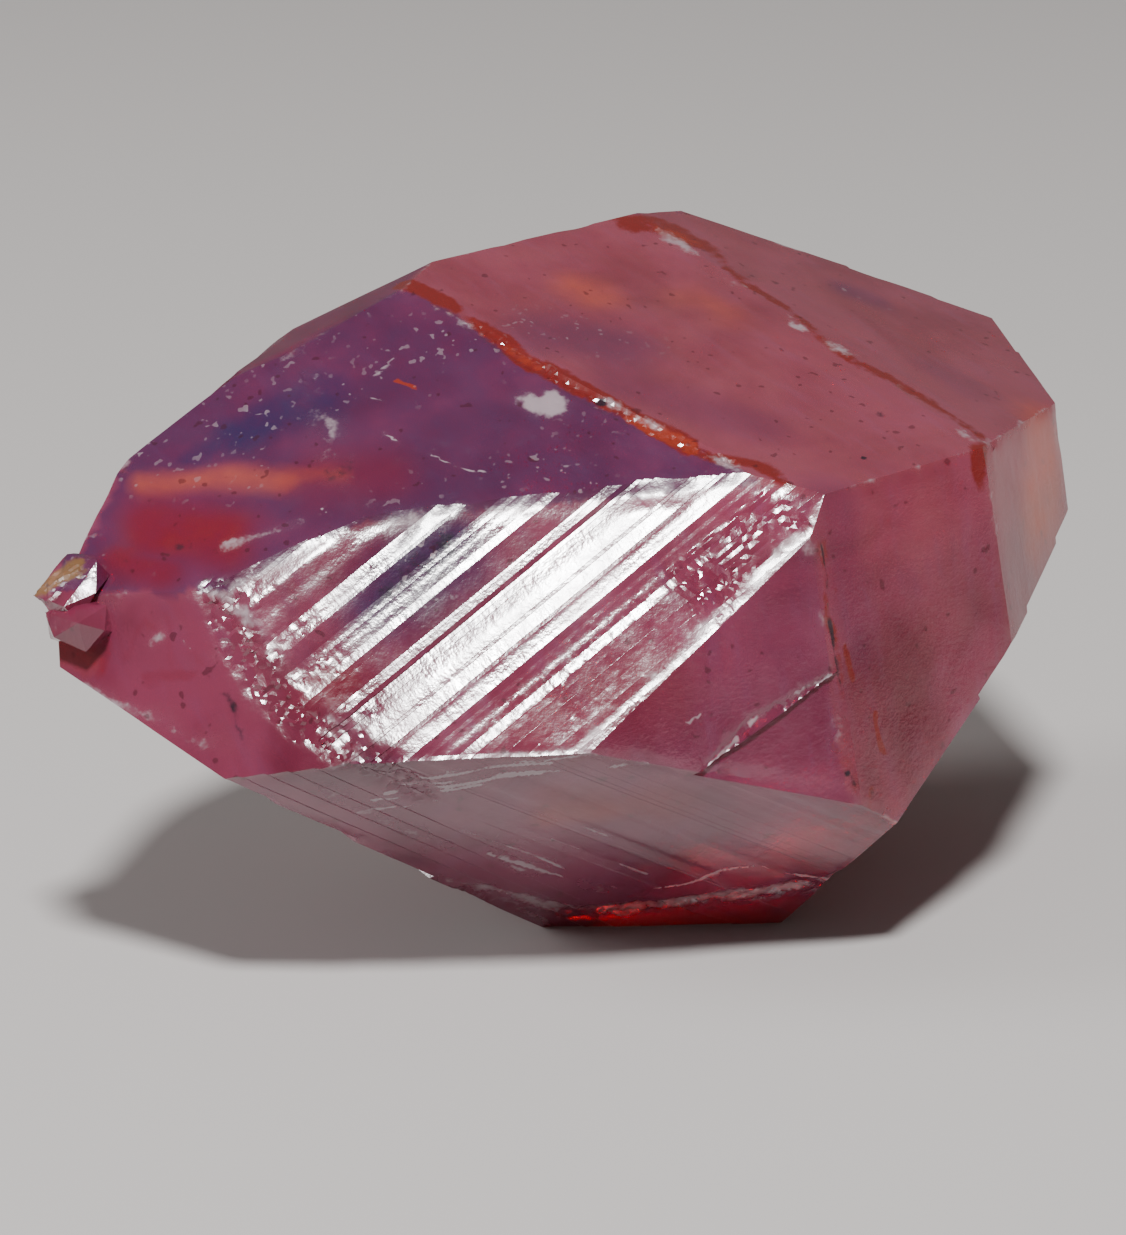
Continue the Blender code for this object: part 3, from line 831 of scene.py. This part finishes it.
def inner_points(outline, to_space, rng):
    """Evenly strewn points inside a flat outline, closer together where detail is fine."""
    low = outline.min(axis=0)
    high = outline.max(axis=0)
    kept = []
    for size in (LONGEST_EDGE, RIDGE_EDGE, FINE_EDGE):
        if (high - low).min() < size:
            continue
        across = np.arange(low[0], high[0], size)
        upward = np.arange(low[1], high[1], size * ROW_HEIGHT)
        grid = np.stack(np.meshgrid(across, upward), axis=2)
        grid[1::2, :, 0] += size * 0.5
        points = grid.reshape(-1, 2)
        points = points + rng.uniform(-POINT_STRAY, POINT_STRAY, points.shape) * size
        points = points[np.isclose(wanted_edge(to_space(points)), size)]
        if len(points):
            kept.append(points[inside_outline(points, outline, size * RIM_CLEARANCE)])
    return np.vstack(kept) if kept else np.zeros((0, 2))


def in_fixed_order(bm):
    """Places in mm of the points, and each face as a row of their numbers, in the same order each run.

    The Boolean modifier makes the same surface every time, but lists its points and faces in any
    order, and the random draws that follow go face by face.
    """
    verts = sorted(bm.verts, key=lambda vert: vert.co[:])
    number = {vert: order for order, vert in enumerate(verts)}
    loops = []
    for face in bm.faces:
        loop = [number[vert] for vert in face.verts]
        first = loop.index(min(loop))
        loops.append(loop[first:] + loop[:first])
    return [tuple(vert.co * MM_IN_METRE) for vert in verts], sorted(loops)


def outline_normal(corners):
    """Unit normal of a flat outline."""
    away = corners - corners.mean(axis=0)
    normal = np.cross(away, np.roll(away, -1, axis=0)).sum(axis=0)
    return normal / max(np.linalg.norm(normal), TINY)


def refine(bm):
    """The same surface in even triangles, small enough for fine relief and marks."""
    split_long_edges(bm)
    rng = np.random.default_rng(POINT_SEED)
    places, loops = in_fixed_order(bm)
    triangles = []
    for loop in loops:
        corners = np.array([places[i] for i in loop])
        sides = np.roll(corners, -1, axis=0) - corners
        normal = outline_normal(corners)
        side = sides[np.linalg.norm(sides, axis=1).argmax()]
        side = side - normal * (side @ normal)
        side = side / np.linalg.norm(side)
        upward = np.cross(normal, side)
        outline = np.stack([corners @ side, corners @ upward], axis=1)
        height = (corners @ normal).mean()

        def to_space(flat):
            return flat[:, :1] * side + flat[:, 1:] * upward + normal * height

        inner = inner_points(outline, to_space, rng)
        flat = [Vector(p) for p in np.vstack([outline, inner])]
        filled = delaunay_2d_cdt(flat, [], [list(range(len(loop)))], 1, SAME_PLACE)
        number = {}
        for made, sources in enumerate(filled[3]):
            source = min(sources) if sources else None
            if source is not None and source < len(loop):
                number[made] = loop[source]
            else:
                number[made] = len(places)
                places.append(tuple(to_space(np.array([filled[0][made][:]]))[0]))
        triangles.extend([number[i] for i in corner] for corner in filled[2])
    bm.free()
    fine = bmesh.new()
    verts = [fine.verts.new(Vector(place) * MM) for place in places]
    for corner in triangles:
        if len(set(corner)) == 3:
            fine.faces.new([verts[i] for i in corner])
    return fine


def cell_hash(cells, seed):
    """Three repeatable numbers between 0 and 1 for every grid cell."""
    by_axis = [cells[:, axis] * factor for axis, factor in enumerate(HASH_AXIS_FACTORS)]
    mixed = by_axis[0] ^ by_axis[1] ^ by_axis[2] ^ seed * HASH_SEED_FACTOR
    numbers = []
    for shift in HASH_SHIFTS:
        value = (mixed >> shift) * HASH_FACTOR + HASH_STEP
        numbers.append(((value ^ (value >> HASH_FOLD)) & HASH_MASK) / HASH_MASK)
    return np.stack(numbers, axis=1)


def broken_facets(points, grain, seed):
    """Height between -1 and 1 of small tilted facets, as on a broken surface."""
    scaled = points / grain
    base = np.floor(scaled).astype(np.int64)
    best = np.full(len(points), FAR_AWAY)
    height = np.zeros(len(points))
    for step in product((-1, 0, 1), repeat=3):
        cell = base + np.array(step)
        seat = cell + cell_hash(cell, seed)
        away = scaled - seat
        gap = (away * away).sum(axis=1)
        tilt = cell_hash(cell, seed + FACET_TILT_SEED) * 2.0 - 1.0
        lift = cell_hash(cell, seed + FACET_LIFT_SEED)[:, 0] - 0.5
        flat = (tilt * away).sum(axis=1) * FACET_TILT + lift * FACET_LIFT
        nearer = gap < best
        best = np.where(nearer, gap, best)
        height = np.where(nearer, flat, height)
    return np.clip(height, -1.0, 1.0)


def smooth_noise(points, size, seed):
    """Soft noise between -1 and 1 with hills of the given size in mm."""
    scaled = points / size
    base = np.floor(scaled).astype(np.int64)
    part = scaled - base
    part = part * part * (3.0 - 2.0 * part)
    total = np.zeros(len(points))
    for corner in product((0, 1), repeat=3):
        value = cell_hash(base + np.array(corner), seed)[:, 0] * 2.0 - 1.0
        share = np.where(corner, part, 1.0 - part)
        total += value * (share[:, 0] * share[:, 1] * share[:, 2])
    return total


def add_relief(bm):
    """Press the uneven waves, worn edges and broken strips into the surface."""
    bm.normal_update()
    points = crystal_points(bm)
    normals = np.array([v.normal for v in bm.verts])
    gaps = np.sort(plane_distances(points), axis=0)
    edge_gap = gaps[-1] - gaps[-2]
    depth = sum(height * smooth_noise(points, size, seed) for height, size, seed in WAVES)
    wear = np.exp(-((edge_gap / WEAR_WIDTH) ** 2))
    chipped = smooth_noise(points, CHIPPED_SIZE, CHIPPED_SEED) * CHIPPED_GAIN - CHIPPED_START
    chipped = np.clip(chipped, 0.0, 1.0)
    facets = CHIP_EVEN_SHARE + CHIP_FACET_SHARE * broken_facets(points, CHIP_GRAIN, CHIP_SEED)
    depth -= wear * (WEAR_DEPTH + CHIP_DEPTH * chipped * facets)
    for number, (path, radius, deep, grain) in enumerate(strips):
        near = fade(path_distance(points, path), radius, STRIP_SOFTNESS)
        touched = near > STRIP_FAINTEST
        facets = broken_facets(points[touched], grain, STRIP_SEED + number)
        facets = STRIP_EVEN_SHARE + STRIP_FACET_SHARE * facets
        depth[touched] -= near[touched] * deep * facets
    across, along = ridge_coordinates(points)
    on_face = plane_distances(points)[list(FACES).index("tip_striated")] > -HATCHED_DEPTH
    hatch = on_face
    for place, (centre, half, softness) in ((across, HATCH_ACROSS), (along, HATCH_ALONG)):
        hatch = hatch * fade(np.abs(place - centre), half, softness)
    reach, size, seed = HATCH_WANDER
    wandering = along + reach * smooth_noise(points, size, seed)
    saw = np.abs((wandering / HATCH_SPACING) % 1.0 - 0.5) * 2.0
    depth -= hatch * HATCH_DEPTH * saw
    moved = (points + normals * depth[:, None]) / MM_IN_METRE
    for vert, place in zip(bm.verts, moved):
        vert.co = place


def paint_masks(bm):
    """Store how strongly each zone, stain, mark and painted light shows at every point."""
    points = crystal_points(bm)
    bend = BEND * np.stack([smooth_noise(points, BEND_SIZE, seed) for seed in BEND_SEEDS], axis=1)
    values = {name: np.zeros(len(points)) for name in MASKS}
    for name, strength, radius, path in marks:
        bend_share, softness = FINE_BORDER if radius < FINE_MARK else BROAD_BORDER
        here = points + bend * bend_share
        strengths = strength * fade(path_distance(here, path), radius, softness)
        values[name] = np.maximum(values[name], strengths)
    gaps = plane_distances(points)
    owner = np.array(list(FACES))[gaps.argmax(axis=0)]
    # Painted light: each face takes its own tint.
    for faces, name, strength in FACE_LIGHT_TINTS:
        values[name] = np.maximum(values[name], strength * np.isin(owner, faces))
    edge_gap = gaps.max(axis=0) - np.sort(gaps, axis=0)[-2]
    # Painted highlight along the edges, laid into the haze and glare mask.
    patches = np.clip(0.5 + 0.5 * smooth_noise(points, EDGE_HIGHLIGHT_SIZE, EDGE_HIGHLIGHT_SEED), 0.0, 1.0)
    edge_highlight = np.exp(-((edge_gap / EDGE_HIGHLIGHT_WIDTH) ** 2)) * patches
    values["haze_and_glare"] = np.maximum(values["haze_and_glare"], EDGE_HIGHLIGHT_STRENGTH * edge_highlight)
    for name in MASKS:
        layer = bm.verts.layers.float.new(name)
        for vert, value in zip(bm.verts, values[name]):
            vert[layer] = value


def place_on_ground(bm, lowest_box, highest_box):
    """Lean the crystal, cut its resting facet and stand it in the box; returns how far it moved."""
    bmesh.ops.rotate(
        bm, verts=bm.verts[:], cent=Vector(), matrix=Matrix.Rotation(-AXIS_LEAN, 3, "Y")
    )
    cut_with_plane(bm, Vector((0.0, 0.0, -REST_DROP)), Vector((0.0, 0.0, -1.0)))
    xs = [v.co.x for v in bm.verts]
    ys = [v.co.y for v in bm.verts]
    middle = (lowest_box + highest_box) / 2.0
    shift = Vector((
        middle.x - (min(xs) + max(xs)) / 2.0,
        middle.y - (min(ys) + max(ys)) / 2.0,
        REST_DROP,
    ))
    bmesh.ops.translate(bm, verts=bm.verts[:], vec=shift)
    return shift


def ruby_material():
    """See-through ruby with its zones, stains and specks, and its painted glow, highlights, glints and
    glare, from the masks and from noise.
    """
    mat = bpy.data.materials.new("ruby")
    mat.use_nodes = True
    nodes = mat.node_tree.nodes
    links = mat.node_tree.links
    shader = nodes["Principled BSDF"]

    def value(source, socket):
        if isinstance(source, (int, float)):
            socket.default_value = source
        else:
            links.new(source, socket)

    def maths(operation, first, second=0.0, third=0.0, clamp=False):
        node = nodes.new("ShaderNodeMath")
        node.operation = operation
        node.use_clamp = clamp
        for source, socket in zip((first, second, third), node.inputs):
            value(source, socket)
        return node.outputs[0]

    def noise(name, stretch=None):
        scale, detail, roughness, distortion = NOISES[name]
        place = nodes.new("ShaderNodeTexCoord").outputs["Object"]
        if stretch:
            mapping = nodes.new("ShaderNodeMapping")
            links.new(place, mapping.inputs["Vector"])
            mapping.inputs["Scale"].default_value = stretch
            place = mapping.outputs[0]
        node = nodes.new("ShaderNodeTexNoise")
        links.new(place, node.inputs["Vector"])
        node.inputs["Scale"].default_value = scale
        node.inputs["Detail"].default_value = detail
        node.inputs["Roughness"].default_value = roughness
        node.inputs["Distortion"].default_value = distortion
        return node.outputs["Fac"]

    def steps(source, low, high, start, end):
        node = nodes.new("ShaderNodeMapRange")
        node.interpolation_type = "SMOOTHSTEP"
        links.new(source, node.inputs["Value"])
        node.inputs["From Min"].default_value = low
        node.inputs["From Max"].default_value = high
        node.inputs["To Min"].default_value = start
        node.inputs["To Max"].default_value = end
        return node.outputs["Result"]

    def mask(name):
        node = nodes.new("ShaderNodeAttribute")
        node.attribute_name = name
        return node.outputs["Fac"]

    def blend(share, first, second):
        node = nodes.new("ShaderNodeMix")
        node.data_type = "RGBA"
        value(share, node.inputs[0])
        for source, socket in ((first, node.inputs[6]), (second, node.inputs[7])):
            if isinstance(source, tuple):
                socket.default_value = source
            else:
                links.new(source, socket)
        return node.outputs[2]

    cloud = noise("cloud")
    mottle = noise("mottle")
    grit = noise("grit")
    streak = noise("streak", stretch=STREAK_STRETCH)
    ragged = maths("ADD", maths("MULTIPLY", mottle, RAGGED_MOTTLE), maths("MULTIPLY", grit, RAGGED_GRIT))

    colour = blend(steps(cloud, *ROSE_RANGE), PINK, ROSE)
    colour = blend(steps(streak, *MAUVE_RANGE), colour, MAUVE)
    colour = blend(steps(noise("shade"), *MAROON_RANGE), colour, MAROON)
    for name, tint, strength, crisp in TINTS:
        level = mask(name)
        if crisp:
            broken = maths("MULTIPLY_ADD", ragged, BORDER_BREAK, -BORDER_BREAK / 2.0)
            share = steps(maths("ADD", level, broken), *CRISP_RANGE, 0.0, strength)
        else:
            patchy = steps(mottle, *SOFT_RANGE, SOFT_LEAST * strength, strength)
            share = maths("MULTIPLY", level, patchy, clamp=True)
        colour = blend(share, colour, tint)
    colour = blend(steps(noise("speck"), *SPECK_RANGE), colour, MAROON)
    # Painted glints: white flecks in the blue zones, where small chips catch the light.
    glint_flecks = steps(noise("glint_fleck"), *GLINT_FLECK_RANGE)
    glint_flecks = maths("MULTIPLY", glint_flecks, steps(cloud, *GLINT_FLECK_CLOUD_RANGE), clamp=True)
    glint_flecks = maths("MULTIPLY", glint_flecks, mask("blue"), clamp=True)
    colour = blend(glint_flecks, colour, HAZE_AND_GLINT_WHITE)
    links.new(colour, shader.inputs["Base Color"])

    rough = steps(mottle, *ROUGHNESS_RANGE)
    rough = maths("MULTIPLY_ADD", mask("haze_and_glare"), HAZE_ROUGHNESS, rough)
    rough = maths("MULTIPLY_ADD", mask("rust"), RUST_ROUGHNESS, rough, clamp=True)
    links.new(rough, shader.inputs["Roughness"])

    bump = nodes.new("ShaderNodeBump")
    bump.inputs["Strength"].default_value = BUMP_STRENGTH
    bump.inputs["Distance"].default_value = BUMP_DISTANCE
    relief = maths("ADD", maths("MULTIPLY", grit, GRIT_BUMP), maths("MULTIPLY", streak, STREAK_BUMP))
    relief = maths("ADD", relief, maths("MULTIPLY", noise("frost"), FROST_BUMP))
    links.new(relief, bump.inputs["Height"])
    links.new(bump.outputs["Normal"], shader.inputs["Normal"])

    shader.inputs["IOR"].default_value = RUBY_REFRACTION
    shader.inputs["Transmission Weight"].default_value = TRANSMISSION
    shader.inputs["Coat Weight"].default_value = COAT
    shader.inputs["Coat Roughness"].default_value = COAT_ROUGHNESS

    absorption = nodes.new("ShaderNodeVolumeAbsorption")
    absorption.inputs["Color"].default_value = ABSORPTION_COLOUR
    absorption.inputs["Density"].default_value = ABSORPTION_DENSITY
    links.new(absorption.outputs[0], nodes["Material Output"].inputs["Volume"])
    return mat


def dress_crystal(body, lowest_box, highest_box):
    """Give the body its fine, marked surface on the ground; returns how far it moved."""
    bm = bmesh.new()
    bm.from_mesh(body.data)
    bm = refine(bm)
    add_relief(bm)
    paint_masks(bm)
    shift = place_on_ground(bm, lowest_box, highest_box)
    bmesh.ops.triangulate(bm, faces=[face for face in bm.faces if len(face.verts) > 3])
    for face in bm.faces:
        face.smooth = True
    for edge in bm.edges:
        if len(edge.link_faces) == 2 and edge.calc_face_angle() > SHARP_ANGLE:
            edge.smooth = False
    bm.to_mesh(body.data)
    bm.free()
    body.data.materials.clear()
    body.data.materials.append(ruby_material())
    return shift


def make_floor():
    """Plain pale floor under the crystal."""
    mat = bpy.data.materials.new("pale_floor")
    mat.use_nodes = True
    shader = mat.node_tree.nodes["Principled BSDF"]
    shader.inputs["Base Color"].default_value = FLOOR_COLOUR
    shader.inputs["Roughness"].default_value = FLOOR_ROUGHNESS
    bm = bmesh.new()
    bmesh.ops.create_grid(bm, x_segments=FLOOR_SQUARES, y_segments=FLOOR_SQUARES, size=FLOOR_REACH)
    mesh = bpy.data.meshes.new("floor")
    bm.to_mesh(mesh)
    bm.free()
    mesh.materials.append(mat)
    made = bpy.data.objects.new("floor", mesh)
    bpy.context.scene.collection.objects.link(made)
    return made


def add_camera(shift):
    """Camera at the photo's viewing angle, placed from the middle of the crystal."""
    data = bpy.data.cameras.new("camera")
    data.lens = CAMERA_LENS
    data.sensor_width = CAMERA_SENSOR
    data.sensor_fit = "AUTO"
    data.clip_start, data.clip_end = CAMERA_CLIP
    camera = bpy.data.objects.new("camera", data)
    camera.location = Vector(CAMERA_PLACE) * MM + shift
    camera.rotation_euler = (CAMERA_TILT, 0.0, CAMERA_TURN)
    bpy.context.scene.collection.objects.link(camera)
    bpy.context.scene.camera = camera


def add_light(name, direction, size, power):
    """Round area light that looks at the crystal."""
    data = bpy.data.lights.new(name, "AREA")
    data.shape = "DISK"
    data.size = size
    data.energy = power
    lamp = bpy.data.objects.new(name, data)
    target = Vector(LIGHT_TARGET)
    lamp.location = target + Vector(direction) * LIGHT_DISTANCE
    way = target - lamp.location
    lamp.rotation_euler = way.to_track_quat("-Z", "Y").to_euler()
    bpy.context.scene.collection.objects.link(lamp)


def add_surroundings():
    """Soft even light from all round."""
    world = bpy.data.worlds.new("studio")
    bpy.context.scene.world = world
    world.use_nodes = True
    background = world.node_tree.nodes["Background"]
    background.inputs["Color"].default_value = WORLD_COLOUR
    background.inputs["Strength"].default_value = WORLD_STRENGTH


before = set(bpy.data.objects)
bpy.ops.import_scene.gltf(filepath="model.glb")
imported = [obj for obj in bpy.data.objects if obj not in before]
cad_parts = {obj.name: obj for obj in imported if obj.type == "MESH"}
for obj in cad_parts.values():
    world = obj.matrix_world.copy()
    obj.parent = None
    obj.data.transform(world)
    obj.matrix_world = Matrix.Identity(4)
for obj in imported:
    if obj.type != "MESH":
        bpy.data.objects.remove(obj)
cad_low, cad_high = (v.copy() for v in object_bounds())

marks = find_marks()
strips = find_strips()
body = make_crystal()
shift = dress_crystal(body, cad_low, cad_high)
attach(body, "root")
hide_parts("ruby_crystal")

floor = make_floor()
floor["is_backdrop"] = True

add_camera(shift)
add_surroundings()
for name, direction, size, power in LIGHTS:
    add_light(name, direction, size, power)
